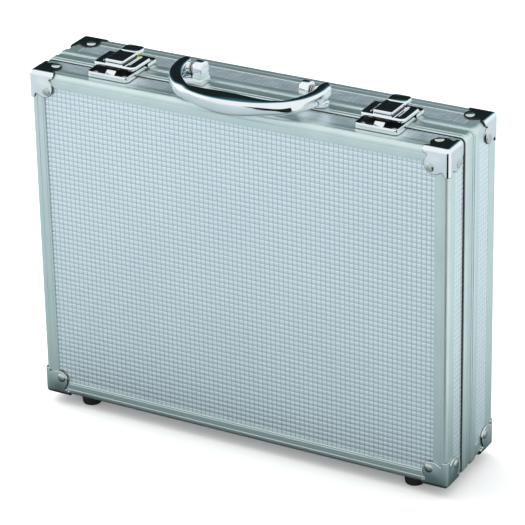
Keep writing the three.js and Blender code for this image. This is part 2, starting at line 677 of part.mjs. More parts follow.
for (const [across, sx] of [["left", -1], ["right", 1]]) {
  const hinge = new THREE.Group();
  hinge.position.set(sx * HINGE_X, 0, AXIS_Z);
  shell.add(hinge);
  place(`hinge_body_leaf_${across}`, hingeLeaf(true), STEEL, hinge);
  place(`hinge_lid_leaf_${across}`, hingeLeaf(false), STEEL, hinge);
  place(`hinge_pin_${across}`, hingePin(), STEEL, hinge);

  const latch = new THREE.Group();
  latch.position.set(sx * LATCH_X, 0, HALF_H);
  shell.add(latch);
  place(`latch_base_${across}`, latchBase(), CHROME, latch);
  place(`latch_keeper_${across}`, keeper(), CHROME, latch);
  place(`latch_pin_${across}`, latchPin(), STEEL, latch);
  place(`latch_lever_${across}`, lever(), CHROME, latch);
  place(`latch_hook_${across}`, hook(), STEEL, latch);
  const spring = coil(1.45, 0.5, -6, 6, 6, LATCH_PIVOT_Y, LATCH_PIVOT_UP);
  place(`latch_spring_${across}`, spring, STEEL, latch);

  const grip = new THREE.Group();
  grip.position.set(0, HANDLE_PIVOT_Y, HALF_H + HANDLE_PIVOT_UP);
  grip.scale.x = sx;
  shell.add(grip);
  place(`handle_bracket_${across}`, bracket(), CHROME, grip);
  place(`handle_pin_${across}`, handlePin(), STEEL, grip);
  if (sx === 1) place("handle", handle(), CHROME, grip);

  const stay = new THREE.Group();
  stay.position.set(0, 0, AXIS_Z);
  stay.scale.x = sx;
  shell.add(stay);
  place(`stay_body_arm_${across}`, stayBodyArm(), STEEL, stay);
  place(`stay_lid_arm_${across}`, stayLidArm(), STEEL, stay);
  place(`stay_lid_stud_${across}`, stayLidStud(), STEEL, stay);
}

place("foam_insert", foamInsert(), FOAM);
place("lid_pad", lidPad(), FOAM);

export default part;
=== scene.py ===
import math

import bmesh
import bpy
from mathutils import Matrix, Vector


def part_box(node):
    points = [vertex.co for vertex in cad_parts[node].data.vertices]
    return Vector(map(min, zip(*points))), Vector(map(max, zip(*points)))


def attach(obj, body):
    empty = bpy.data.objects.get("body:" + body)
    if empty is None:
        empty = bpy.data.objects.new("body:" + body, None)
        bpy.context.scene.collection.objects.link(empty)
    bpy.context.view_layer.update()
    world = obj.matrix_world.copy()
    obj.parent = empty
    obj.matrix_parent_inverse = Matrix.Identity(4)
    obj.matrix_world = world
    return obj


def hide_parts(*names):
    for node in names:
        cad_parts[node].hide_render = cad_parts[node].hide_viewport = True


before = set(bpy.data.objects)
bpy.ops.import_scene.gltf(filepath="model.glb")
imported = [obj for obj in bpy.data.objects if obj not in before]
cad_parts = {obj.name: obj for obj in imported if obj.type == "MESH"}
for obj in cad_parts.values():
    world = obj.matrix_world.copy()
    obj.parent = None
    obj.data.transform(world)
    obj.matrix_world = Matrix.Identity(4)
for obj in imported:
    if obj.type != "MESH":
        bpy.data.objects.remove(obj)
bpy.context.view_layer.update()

MM = 0.001


def node_box(name):
    low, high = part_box(name)
    return low / MM, high / MM


# ---------------------------------------------------------------- places taken from the CAD
FRONT_LOW, FRONT_HIGH = node_box("body_edge_trim")
REAR_HIGH = node_box("lid_edge_trim")[1]
HALF_W = FRONT_HIGH.x
HALF_H = (FRONT_HIGH.z - FRONT_LOW.z) / 2
MID_Z = (FRONT_HIGH.z + FRONT_LOW.z) / 2
TOP = FRONT_HIGH.z
SPLIT = (FRONT_LOW.y + REAR_HIGH.y) / 2  # the parting plane
DEPTH = (REAR_HIGH.y - FRONT_LOW.y) / 2  # of one half
WAY = {"body": -1, "lid": 1}  # from the parting plane to each half's face


def middle(name):
    low, high = node_box(name)
    return (low + high) / 2


HANDLE_PIVOT = middle("handle_pin_left")
LATCH_X = middle("latch_base_right").x

# ---------------------------------------------------------------- sizes, in millimetres
CORNER = 4.0  # outline corner of the trims
TRIM_FACE = 12
TRIM_SIDE = 12.2
TRIM_ROUND = {"body": 3.6, "lid": 1.7}
TRIM_T = 1.2
PITCH = 4.15  # of the embossed squares
SQUARES = {"face": (84, 64), "side": (66, 8), "level": (85, 8)}
STRIP_FROM_SPLIT = 5.2  # where the narrow panels begin
PANEL_T = 2.8
RELIEF = {"face": 0.26, "side": 0.15, "level": 0.10}
# How much painted shade darkens the grooves' colour, by kind of panel.
GROOVE_SHADE_SHARE = {"face": 1.0, "side": 0.6, "level": 0.4}
SKIN_UNDER = {"face": 1.35, "side": 0.4, "level": 0.25}  # below the trim's outside
RIM_W = {"body": 14.6, "lid": 9.4}
RIM_CHANNEL = {"body": 4.8, "lid": 2.0}  # the low part beside the parting plane
RIM_PROUD = 1.2
RIM_IN = 6
SEAL_SIDE = {"body": 1.15, "lid": 0.3}
SEAL_LEVEL = {"body": 0.4, "lid": 0.2}
PLATE_LEG = 22
PLATE_H = 1.1
PLATE_UNDER = 2.1  # bend radius of a plate's inside
LOBE_AT = 12.4  # middle of the lobe from both edges
LOBE_CROWN = 0.45
PLATE_EDGE_RINGS = 6  # rings of quads that make the cut edge
RIVET_AT = 15
SEAT = 1.5  # latch trays and brackets stand this far above the case top

# The right half of the grip's middle line in x and y, from the pins: the leg, then the bend.
BAIL_END = [(62.2, 6.2), (62.2, 5.6), (62.2, 4.6), (62.2, 2.6), (62.4, 0), (62.2, -7)]
BAIL_BEND = [(60.8, -14), (57.6, -21.5), (52.6, -28.6), (43, -36.6), (22, -43.6), (0, -46)]
BAIL_ACROSS = (5.3, 9.0)  # half widths of the grip, at its legs and in its middle
BAIL_HIGH = (6.0, 8.1)
BAIL_SWELL = 42  # half length of the thicker middle
BAIL_ROUND = ((44, 330), (-39, 45))  # where the flat top turns round: place along x, and spread
BAIL_DROOP = 5  # degrees that the resting grip hangs forward
POST_X = 47.25  # middle of a bracket's post
POST_HALF_X = 4.25
POST_HALF_Y = 6.6
BRACKET_LOW = -12  # under the pins
FOOT_HALF_Y = 6.9
FOOT_TOP = -6.9
FOOT_END = 66


# ---------------------------------------------------------------- shaders
def add_node(tree, kind, **settings):
    made = tree.nodes.new(kind)
    for key, value in settings.items():
        if key in made.inputs:
            made.inputs[key].default_value = value
        else:
            setattr(made, key, value)
    return made


def ramp(tree, factor, stops):
    made = tree.nodes.new("ShaderNodeValToRGB")
    elements = made.color_ramp.elements
    while len(elements) < len(stops):
        elements.new(0.5)
    for element, (place, colour) in zip(elements, stops):
        element.position = place
        element.color = (*colour, 1)
    tree.links.new(factor, made.inputs["Fac"])
    return made.outputs["Color"]


def noise(tree, scale, detail=3.0, stretch=(1, 1, 1)):
    place = tree.nodes.new("ShaderNodeTexCoord")
    mapping = tree.nodes.new("ShaderNodeMapping")
    mapping.inputs["Scale"].default_value = stretch
    made = add_node(tree, "ShaderNodeTexNoise", Scale=scale, Detail=detail)
    tree.links.new(place.outputs["Object"], mapping.inputs["Vector"])
    tree.links.new(mapping.outputs["Vector"], made.inputs["Vector"])
    return made.outputs["Fac"]


METAL_GRAIN = 0.00005  # metres


def grey(value):
    return (value, value, value)


def new_material(name, metallic, roughness, specular=0.5):
    made = bpy.data.materials.new(name)
    made.use_nodes = True
    shader = made.node_tree.nodes["Principled BSDF"]
    shader.inputs["Metallic"].default_value = metallic
    shader.inputs["Roughness"].default_value = roughness
    shader.inputs["Specular IOR Level"].default_value = specular
    return made, made.node_tree, shader


def add_bump(tree, shader, height, strength, distance):
    made = add_node(tree, "ShaderNodeBump", Strength=strength, Distance=distance)
    tree.links.new(height, made.inputs["Height"])
    tree.links.new(made.outputs["Normal"], shader.inputs["Normal"])


def metal(name, dark, light, rough, scale, bump, fine, metallic=1.0):
    """Metal whose colour and roughness drift with one noise, with a finer noise as its surface grain."""
    smoothest, roughest = rough
    made, tree, shader = new_material(name, metallic, smoothest)
    drift = noise(tree, scale, 4.0)
    tree.links.new(ramp(tree, drift, [(0.3, dark), (0.7, light)]), shader.inputs["Base Color"])
    rough_colour = ramp(tree, drift, [(0.3, grey(roughest)), (0.75, grey(smoothest))])
    tree.links.new(rough_colour, shader.inputs["Roughness"])
    add_bump(tree, shader, noise(tree, fine, 2.0), bump, METAL_GRAIN)
    return made


def embossed_skin():
    made, tree, shader = new_material("embossed_aluminium", 0.85, 0.36)
    # Painted shade: the grooves between the squares are mixed towards a darker blue-grey, by a per-vertex
    # attribute that is 1 on the squares and lower in the grooves.
    groove_shade = add_node(tree, "ShaderNodeAttribute", attribute_name="groove_shade")
    drift = noise(tree, 14, 3.0)
    light = ramp(tree, drift, [(0.3, (0.76, 0.85, 0.89)), (0.7, (0.81, 0.89, 0.92))])
    mix = tree.nodes.new("ShaderNodeMix")
    mix.data_type = "RGBA"
    mix.inputs[6].default_value = (0.50, 0.60, 0.66, 1)
    tree.links.new(groove_shade.outputs["Fac"], mix.inputs[0])
    tree.links.new(light, mix.inputs[7])
    tree.links.new(mix.outputs[2], shader.inputs["Base Color"])
    rough = ramp(tree, noise(tree, 220, 3.0), [(0.3, grey(0.38)), (0.7, grey(0.47))])
    tree.links.new(rough, shader.inputs["Roughness"])
    add_bump(tree, shader, noise(tree, 1600, 2.0, (1, 1, 0.35)), 0.1, 0.00004)
    return made


def dull(name, dark, light, roughness, scale, bump, distance, specular=0.4):
    """Rubber, plastic or foam: a speckle in the colour, and the same grain as a bump."""
    made, tree, shader = new_material(name, 0.0, roughness, specular)
    grain = noise(tree, scale, 5.0)
    tree.links.new(ramp(tree, grain, [(0.35, dark), (0.7, light)]), shader.inputs["Base Color"])
    rough = ramp(tree, grain, [(0.3, grey(min(roughness + 0.1, 1))), (0.7, grey(roughness - 0.08))])
    tree.links.new(rough, shader.inputs["Roughness"])
    add_bump(tree, shader, grain, bump, distance)
    return made


LOOKS = {
    "embossed_skin": embossed_skin(),
    "satin_trim": metal(
        "satin_anodised", (0.63, 0.74, 0.73), (0.70, 0.80, 0.79), (0.38, 0.46), 30, 0.06, 1500, 0.95
    ),
    "chrome": metal(
        "polished_chrome", (0.84, 0.87, 0.88), (0.90, 0.92, 0.93), (0.04, 0.10), 45, 0.2, 160
    ),
    "nickel": metal(
        "nickel_rivet", (0.58, 0.60, 0.56), (0.70, 0.72, 0.68), (0.16, 0.26), 150, 0.2, 600
    ),
    # Painted shade: a darker, smoother copy of the rivet nickel, for the rivets on the faces and sides.
    "nickel_painted_shade": metal(
        "nickel_rivet_painted_shade", (0.46, 0.50, 0.47), (0.58, 0.62, 0.59), (0.08, 0.14), 150, 0.2, 600
    ),
    # Painted shade: a near-black metal put on the plates' downward cut edges, the tray insides and the lower
    # pad sides, where shade falls.
    "painted_shade": metal(
        "near_black_painted_shade", (0.02, 0.024, 0.026), (0.05, 0.056, 0.058), (0.30, 0.50), 160, 0.3, 900
    ),
    "steel": metal(
        "plated_steel", (0.45, 0.47, 0.47), (0.60, 0.62, 0.61), (0.22, 0.40), 120, 0.2, 1200
    ),
    "brass": metal(
        "passivated_rivet", (0.62, 0.52, 0.30), (0.80, 0.70, 0.44), (0.20, 0.36), 200, 0.2, 1200
    ),
    # The stud's yellow zinc plating, made brighter as painted light to make up for the shade under the
    # lever's tab.
    "zinc_and_painted_light": metal(
        "zinc_plating_and_painted_light", (0.84, 0.80, 0.06), (0.96, 0.93, 0.14), (0.30, 0.46), 200, 0.2, 1200
    ),
    "seal": dull("black_edging", grey(0.004), grey(0.012), 0.42, 700, 0.2, 0.0002),
    "rubber": dull("moulded_rubber", grey(0.006), grey(0.018), 0.72, 900, 0.35, 0.0003, 0.3),
    "foam": dull("open_cell_foam", (0.012, 0.012, 0.014), (0.05, 0.05, 0.056), 0.95, 650, 0.9, 0.0008, 0.2),
}


# ---------------------------------------------------------------- mesh tools
def merge(*shapes):
    verts, faces = [], []
    for more_verts, more_faces in shapes:
        base = len(verts)
        verts += more_verts
        faces += [[base + i for i in face] for face in more_faces]
    return verts, faces


def moved(shape, place):
    verts, faces = shape
    return [place(*v) for v in verts], faces


def piece(name, shape, body, look, replaces=(), sharp=38.0, weld=True, second="", second_faces=()):
    """One object from a shape in millimetres, riding on a body. Some faces may have a second look."""
    verts, faces = shape
    mesh = bpy.data.meshes.new(name)
    mesh.from_pydata([(x * MM, y * MM, z * MM) for x, y, z in verts], [], faces)
    for index in second_faces:
        mesh.polygons[index].material_index = 1
    edit = bmesh.new()
    edit.from_mesh(mesh)
    if weld:
        bmesh.ops.remove_doubles(edit, verts=edit.verts, dist=2e-6)
        bmesh.ops.dissolve_degenerate(edit, edges=edit.edges, dist=1e-6)
    bmesh.ops.recalc_face_normals(edit, faces=edit.faces)
    edit.to_mesh(mesh)
    edit.free()
    mesh.polygons.foreach_set("use_smooth", [True] * len(mesh.polygons))
    mesh.set_sharp_from_angle(angle=math.radians(sharp))
    made = bpy.data.objects.new(name, mesh)
    bpy.context.scene.collection.objects.link(made)
    mesh.materials.append(LOOKS[look])
    if second:
        mesh.materials.append(LOOKS[second])
    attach(made, body)
    if replaces:
        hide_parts(*replaces)
    return made


def skin_faces(rings, closed_rings, closed_profile):
    """Quads between rings of equal length."""
    count = len(rings[0])
    faces = []
    ring_steps = len(rings) if closed_profile else len(rings) - 1
    point_steps = count if closed_rings else count - 1
    for j in range(ring_steps):
        k = (j + 1) % len(rings)
        for i in range(point_steps):
            n = (i + 1) % count
            faces.append([j * count + i, j * count + n, k * count + n, k * count + i])
    return faces


def loft(rings):
    """Closed rings skinned one after another, with both ends capped."""
    count = len(rings[0])
    verts = [point for ring in rings for point in ring]
    faces = skin_faces(rings, True, False)
    faces.append(list(range(count)))
    faces.append([(len(rings) - 1) * count + i for i in range(count)])
    return verts, faces


def arc(cx, cy, radius, start, end, steps):
    return [
        (
            cx + radius * math.cos(math.radians(start + (end - start) * i / steps)),
            cy + radius * math.sin(math.radians(start + (end - start) * i / steps)),
        )
        for i in range(steps + 1)
    ]


def rounded_rect(half_x, half_y, radius, steps=5):
    radius = min(radius, half_x * 0.98, half_y * 0.98)
    x, y = half_x - radius, half_y - radius
    return (
        arc(x, y, radius, 0, 90, steps)
        + arc(-x, y, radius, 90, 180, steps)
        + arc(-x, -y, radius, 180, 270, steps)
        + arc(x, -y, radius, 270, 360, steps)
    )


def inset(outline, amount):
    """The outline of a closed convex shape, drawn anticlockwise, moved inwards."""
    count = len(outline)
    made = []
    for i, (x, y) in enumerate(outline):
        before = Vector((x - outline[i - 1][0], y - outline[i - 1][1]))
        after = Vector((outline[(i + 1) % count][0] - x, outline[(i + 1) % count][1] - y))
        before = before if before.length > 1e-6 else after
        after = after if after.length > 1e-6 else before
        before, after = before.normalized(), after.normalized()
        inward = Vector((-before.y, before.x)) + Vector((-after.y, after.x))
        scale = amount * 2 / max(inward.length_squared, 0.6)
        made.append((x + inward.x * scale, y + inward.y * scale))
    return made


def prism(outline, low, high, bevel, axis="z"):
    """An outline between two levels, with its edges rounded. Along x the outline is in y and z."""
    levels = [
        (low, bevel),
        (low + bevel * 0.3, bevel * 0.3),
        (low + bevel, 0),
        (high - bevel, 0),
        (high - bevel * 0.3, bevel * 0.3),
        (high, bevel),
    ]
    put = {
        "z": lambda a, b, level: (a, b, level),
        "x": lambda a, b, level: (level, a, b),
        "y": lambda a, b, level: (a, level, b),
    }[axis]
    return loft([[put(a, b, level) for a, b in inset(outline, amount)] for level, amount in levels])


def lathe(profile, steps=32):
    """(radius, height) turned about z. The ends close on the axis."""
    circle = arc(0, 0, 1, 0, 360 - 360 / steps, steps - 1)
    rings = []
    for radius, height in profile:
        radius = max(radius, 0.01)
        rings.append([(radius * c, radius * s, height) for c, s in circle])
    return loft(rings)


def turned(shape, outward):
    """The shape with its z axis turned to point along outward."""
    turn = Vector((0, 0, 1)).rotation_difference(Vector(outward)).to_matrix()
    return moved(shape, lambda x, y, z: tuple(turn @ Vector((x, y, z))))


def put(shape, dx, dy, dz):
    return moved(shape, lambda x, y, z: (x + dx, y + dy, z + dz))


# ---------------------------------------------------------------- rings round the case
def outline_ring(out, depth, half, steps=9):
    """Points round the case, out from the trim's outside, at a depth from the parting plane."""
    radius = max(CORNER + out, 0.4)
    x, z = HALF_W + out - radius, HALF_H + out - radius
    ring = []
    for quarter, (sx, sz) in enumerate(((1, 1), (-1, 1), (-1, -1), (1, -1))):
        for i in range(steps + 1):
            turn = math.radians(90 * (quarter + i / steps))
            side = math.cos(turn) ** 2  # 1 on the left and right, 0 on top and bottom
            d = depth(side) if callable(depth) else depth
            ring.append(
                (
                    sx * x + radius * math.cos(turn),
                    SPLIT + WAY[half] * d,
                    MID_Z + sz * z + radius * math.sin(turn),
                )
            )
    return ring


def case_ring(profile, half):
    """A closed section of (depth, out) points swept round the case."""
    rings = [outline_ring(out, depth, half) for depth, out in profile]
    return [p for ring in rings for p in ring], skin_faces(rings, True, True)


def trim_section(half):
    bend = TRIM_ROUND[half]
    section = [
        (DEPTH - TRIM_SIDE, -TRIM_T),
        (DEPTH - TRIM_SIDE, -0.3),
        (DEPTH - TRIM_SIDE + 0.3, 0),
        (DEPTH - 6.4, 0),
        (DEPTH - 6.15, -0.2),
        (DEPTH - 5.9, 0),
    ]
    section += arc(DEPTH - bend, -bend, bend, 90, 0, 7)
    section += [
        (DEPTH, -5.2),
        (DEPTH - 0.3, -5.5),
        (DEPTH - 0.3, -5.8),
        (DEPTH, -6.1),
        (DEPTH, -10.2),
        (DEPTH - 0.3, -10.5),
        (DEPTH - 0.3, -11.6),
        (DEPTH - 0.6, -TRIM_FACE),
        (DEPTH - TRIM_T, -TRIM_FACE),
        (DEPTH - TRIM_T, -4.2),
        (DEPTH - 3.8, -TRIM_T),
    ]
    return section


def trim_post(sx, sz, half):
    """The angle down each depth edge, from the trim to the edging strip."""
    leg = 12
    near = RIM_W[half] + 0.3 + SEAL_SIDE[half] + 0.3
    far = DEPTH - TRIM_SIDE - 0.02

    def angle(out):
        radius = max(CORNER + out, 0.4)
        x, z = HALF_W + out - radius, HALF_H + out - radius
        bend = arc(x, z, radius, 0, 90, 8)
        return [(HALF_W + out, HALF_H - leg)] + bend + [(HALF_W - leg, HALF_H + out)]

    rings = []
    for depth, out in ((near, -TRIM_T), (near, 0), (far, 0), (far, -TRIM_T)):
        rings.append([(sx * x, SPLIT + WAY[half] * depth, MID_Z + sz * z) for x, z in angle(out)])
    verts = [p for ring in rings for p in ring]
    count = len(rings[0])
    faces = skin_faces(rings, False, True)
    faces.append([0, count, 2 * count, 3 * count])
    faces.append([count - 1, 2 * count - 1, 3 * count - 1, 4 * count - 1])
    return verts, faces


def rim_section(half):
    """The frame profile: a low channel beside the parting line, a land, a groove and a rounded shoulder."""
    low, top = RIM_PROUD - 0.8, RIM_PROUD
    step, end = RIM_CHANNEL[half], RIM_W[half]
    section = [(0.15, low - 1.7), (0.6, low - 1.6), (0.6, low - 0.25), (0.85, low), (step - 0.4, low)]
    section += [(step, low + 0.15), (step + 0.2, top - 0.15), (step + 0.6, top)]
    if half == "body":
        groove = end - 3.6
        section += [(groove - 0.7, top), (groove - 0.35, top - 0.3), (groove, top - 0.75)]
        section += [(groove + 0.35, top - 0.3), (groove + 0.7, top)]
    section += arc(end - 1, top - 1, 1, 90, 0, 5)
    section += [(end, -TRIM_T), (4.7, -TRIM_T), (4.7, -RIM_IN + 1.2), (end, -RIM_IN + 1.2)]
    section += [(end, -RIM_IN + 0.2), (end - 0.2, -RIM_IN), (0.45, -RIM_IN), (0.15, -RIM_IN + 0.3)]
    if half == "lid":
        section += [(0.15, -3.6), (-1.2, -3.6), (-1.5, -3.3), (-1.5, -2.5), (-1.2, -2.2), (0.15, -2.2)]
    else:
        section += [(0.15, -3.9), (2.1, -3.9), (2.1, -1.9), (0.15, -1.9)]
    return section


def seal_section(half):
    end = RIM_W[half]

    def edge(inwards):
        wide, narrow = SEAL_SIDE[half], SEAL_LEVEL[half]
        return lambda side: end + 0.3 + narrow + (wide - narrow) * side - inwards

    return [
        (end + 0.1, -TRIM_T),
        (end + 0.1, 0.35),
        (end + 0.2, 0.4),
        (edge(0.15), 0.4),
        (edge(0), 0.25),
        (edge(0), -TRIM_T),
    ]


# ---------------------------------------------------------------- embossed panels
def stations(cells):
    """(place, is raised) across the squares: a groove, a slope, the flat of the square, and a slope."""
    made = []
    for cell in range(cells):
        for share, raised in ((0, 0), (0.06, 0), (0.17, 1), (0.89, 1)):
            made.append(((cell + share) * PITCH, raised))
    made.append((cells * PITCH, 0))
    return made


def embossed_panel(name, node, body, kind, place):
    """A slab whose skin is pressed into squares. place turns (u, v, height) into the row frame."""
    cells_u, cells_v = SQUARES[kind]
    us, vs = stations(cells_u), stations(cells_v)
    u_mid, v_mid = cells_u * PITCH / 2, cells_v * PITCH / 2
    verts, groove_shade = [], []
    for v, v_up in vs:
        for u, u_up in us:
            up = u_up * v_up
            verts.append(place(u - u_mid, v - v_mid, (up - 1) * RELIEF[kind]))
            # Painted shade: 1 on the flat of a square and lower in the grooves; the skin's colour darkens
            # with it.
            groove_shade.append(1 - (1 - up) * GROOVE_SHADE_SHARE[kind])
    wide, high = len(us), len(vs)
    rows = [[j * wide + i for i in range(wide)] for j in range(high)]
    faces = [
        [rows[j][i], rows[j][i + 1], rows[j + 1][i + 1], rows[j + 1][i]]
        for j in range(high - 1)
        for i in range(wide - 1)
    ]
    border = rows[0] + [row[-1] for row in rows[1:]] + rows[-1][-2::-1] + [row[0] for row in rows[-2:0:-1]]
    base = len(verts)
    for index in border:
        u, v = us[index % wide][0] - u_mid, vs[index // wide][0] - v_mid
        verts.append(place(u, v, -PANEL_T))
        groove_shade.append(1)
    count = len(border)
    for i in range(count):
        n = (i + 1) % count
        faces.append([border[i], base + i, base + n, border[n]])
    faces.append([base + i for i in range(count)])
    made = piece(name, (verts, faces), body, "embossed_skin", [node], 50, False)
    attribute = made.data.attributes.new("groove_shade", "FLOAT", "POINT")
    attribute.data.foreach_set("value", groove_shade)
    return made


def shell_half(half):
    way = WAY[half]
    face_y = SPLIT + way * (DEPTH - SKIN_UNDER["face"])
    embossed_panel(
        f"{half}_face_skin",
        f"{half}_face_panel",
        half,
        "face",
        lambda u, v, h: (u, face_y + way * h, MID_Z + v),
    )
    strip_y = SPLIT + way * (STRIP_FROM_SPLIT + SQUARES["side"][1] * PITCH / 2)
    for across, sx in (("left", -1), ("right", 1)):
        out = HALF_W - SKIN_UNDER["side"]
        embossed_panel(
            f"{half}_{across}_skin",
            f"{half}_{across}_panel",
            half,
            "side",
            lambda u, v, h, sx=sx: (sx * (out + h), strip_y + v, MID_Z + u),
        )
    for level, sz in (("top", 1), ("bottom", -1)):
        out = HALF_H - SKIN_UNDER["level"]
        embossed_panel(
            f"{half}_{level}_skin",
            f"{half}_{level}_panel",
            half,
            "level",
            lambda u, v, h, sz=sz: (u, strip_y + v, MID_Z + sz * (out + h)),
        )
    trim = merge(
        case_ring(trim_section(half), half),
        *[trim_post(sx, sz, half) for sx in (-1, 1) for sz in (-1, 1)],
    )
    piece(f"{half}_trim", trim, half, "satin_trim", [f"{half}_edge_trim"], 30)
    rim = case_ring(rim_section(half), half)
    piece(f"{half}_rim", rim, half, "satin_trim", [f"{half}_frame_profile"], 30)
    edging = case_ring(seal_section(half), half)
    piece(f"{half}_edging", edging, half, "seal", [f"{half}_panel_seal"])


# ---------------------------------------------------------------- corner plates
def plate_outline():
    """One face of a plate, from its ear on the first edge to its ear on the second, from the corner."""
    ear = [(PLATE_LEG, 0), (PLATE_LEG, 0.5), (PLATE_LEG, 1.0), (PLATE_LEG, 1.6)]
    ear += arc(PLATE_LEG - 2.0, 2.2, 2.0, 0, 90, 6)
    notch = [(19.3, 4.25), (18.7, 4.45), (18.3, 5.0), (18.3, 5.8)]
    half = ear + notch
    lobe = arc(LOBE_AT, LOBE_AT, 8.4, -40, 130, 30)
    return half + lobe + [(v, u) for u, v in reversed(half)]


def inward_normals(outline):
    made = []
    for a, b in zip(outline[:-2], outline[2:]):
        along = Vector((b[0] - a[0], b[1] - a[1])).normalized()
        made.append(Vector((-along.y, along.x)))
    return [Vector((-1, 0)), *made, Vector((0, -1))]


def plate_face(lift):
    """Rings from the corner out to the rim and down it, as (first, second, height over the trim)."""
    outline = plate_outline()
    normals = inward_normals(outline)
    rings = []
    near = (0.001, 0.02, 0.04, 0.06, 0.08, 0.1, 0.125, 0.16)
    for share in near + (0.21, 0.28, 0.37, 0.48, 0.62, 0.78, 0.91):
        rings.append([(u * share, v * share, lift) for u, v in outline])
    rounded = ((0.5, lift), (0.28, lift - 0.04), (0.1, lift - 0.18), (0, lift - 0.4))
    for amount, height in rounded + ((0, 0.35), (0.5, 0.3), (0.5, -0.1)):
        rings.append([(u + n.x * amount, v + n.y * amount, height) for (u, v), n in zip(outline, normals)])
    return rings


def facing_down(points, quad, inside):
    """True for a cut edge that faces the floor. inside is a point behind the plate."""
    a, b, c = (Vector(points[i]) for i in quad[:3])
    normal = (b - a).cross(c - b)
    if normal.length < 1e-9:
        return False
    normal.normalize()
    if normal.dot((a + c) / 2 - inside) < 0:
        normal = -normal
    return normal.z < 0.25


def corner_plate(half, sx, sz):
    """Three lobed faces wrapped over the corner's rounding, and which of their cut-edge quads get painted
    shade.
    """
    corner = Vector((sx * HALF_W, SPLIT + WAY[half] * DEPTH, MID_Z + sz * HALF_H))
    inside = corner + (Vector((0, SPLIT, MID_Z)) - corner).normalized() * 12
    inwards = [Vector((-sx, 0, 0)), Vector((0, -WAY[half], 0)), Vector((0, 0, -sz))]
    shapes, shaded_edge_quads = [], []
    for a, b, c in ((0, 2, 1), (0, 1, 2), (1, 2, 0)):
        rings = []
        for ring in plate_face(PLATE_H):
            wrapped = []
            for u, v, height in ring:
                if height > 0.9:
                    height += LOBE_CROWN * math.exp(-((u - LOBE_AT) ** 2 + (v - LOBE_AT) ** 2) / 36)
                core = Vector((max(u, PLATE_UNDER), max(v, PLATE_UNDER), PLATE_UNDER))
                towards = (Vector((u, v, 0)) - core).normalized()
                p = core + towards * (PLATE_UNDER + height)
                wrapped.append(tuple(corner + inwards[a] * p.x + inwards[b] * p.y + inwards[c] * p.z))
            rings.append(wrapped)
        quads = skin_faces(rings, False, False)
        points = [p for ring in rings for p in ring]
        before = sum(len(faces) for _, faces in shapes)
        # Painted shade: cut-edge quads that face down, and all those round the top face of a top plate, take
        # the near-black look.
        on_top = c == 2 and sz > 0
        for i in range(len(quads) - PLATE_EDGE_RINGS * (len(rings[0]) - 1), len(quads)):
            if on_top or facing_down(points, quads[i], inside):
                shaded_edge_quads.append(before + i)
        shapes.append((points, quads))
    return merge(*shapes), shaded_edge_quads


def dome(radius, height):
    """A snap-headed rivet: a small flat collar and a full dome."""
    profile = [(0, -0.4), (radius, -0.4), (radius, 0.1), (radius - 0.12, 0.28)]
    for i in range(1, 10):
        turn = math.radians(90 * i / 9)
        profile.append(((radius - 0.2) * math.cos(turn), 0.28 + (height - 0.28) * math.sin(turn)))
    return lathe(profile, 36)


def corners(half):
    way = WAY[half]
    head = dome(3.8, 1.6)
    for level, sz in (("top", 1), ("bottom", -1)):
        for across, sx in (("left", -1), ("right", 1)):
            name = f"{half}_corner_{level}_{across}"
            # The plate's downward cut edges get painted shade as a second, near-black look.
            plate, shaded_cut_edge = corner_plate(half, sx, sz)
            piece(f"{name}_plate", plate, half, "chrome", [name], 50, True, "painted_shade", shaded_cut_edge)
            x, y, z = sx * HALF_W, SPLIT + way * DEPTH, MID_Z + sz * HALF_H
            in_x, in_y, in_z = x - sx * RIVET_AT, y - way * RIVET_AT, z - sz * RIVET_AT
            on_face = put(turned(head, (0, way, 0)), in_x, y + way * PLATE_H, in_z)
            on_level = put(turned(head, (0, 0, sz)), in_x, in_y, z + sz * PLATE_H)
            on_side = put(turned(head, (sx, 0, 0)), x + sx * PLATE_H, in_y, in_z)
            # The rivets on the top and bottom take the lighter nickel; those on the faces and sides take its
            # darker copy, as painted shade.
            piece(f"{name}_level_rivet", on_level, half, "nickel")
            piece(f"{name}_rivets", merge(on_face, on_side), half, "nickel_painted_shade")


def feet(half):
    for across in ("left", "right"):
        node = f"{half}_foot_{across}"
        at = middle(node)
        profile = [(0, 1.2), (3.0, 1.2), (3.2, 0.9), (3.4, 0), (6.6, 0), (7.5, 0.5), (7.9, 1.6), (8.3, 5)]
        profile += [(8.5, 8.4), (8.3, 9.2), (7.9, 9.7), (4.9, 9.7), (4.9, 11.0), (0, 11.0)]
        piece(f"{node}_pad", put(lathe(profile, 48), at.x, at.y, 0), half, "rubber", [node])
        screw = [(0, 0.9), (1.2, 0.9), (1.3, 1.5), (2.6, 1.7), (2.9, 1.25), (0, 1.25)]
        piece(f"{node}_screw", put(lathe(screw, 24), at.x, at.y, 0.1), half, "steel")


# ---------------------------------------------------------------- pressed latch parts
def u_path(half, y_open, y_end, radius, steps=7):
    """A U open at y_open, round the two corners at y_end."""
    way = 1 if y_open > y_end else -1
    points = [(-half, y_open)]
    for x, start in ((-half + radius, 180), (half - radius, 270)):
        bend = arc(x, 0, radius, start, start + 90, steps)
        points += [(px, y_end + way * (radius + py)) for px, py in bend]
    points.append((half, y_open))
    return points


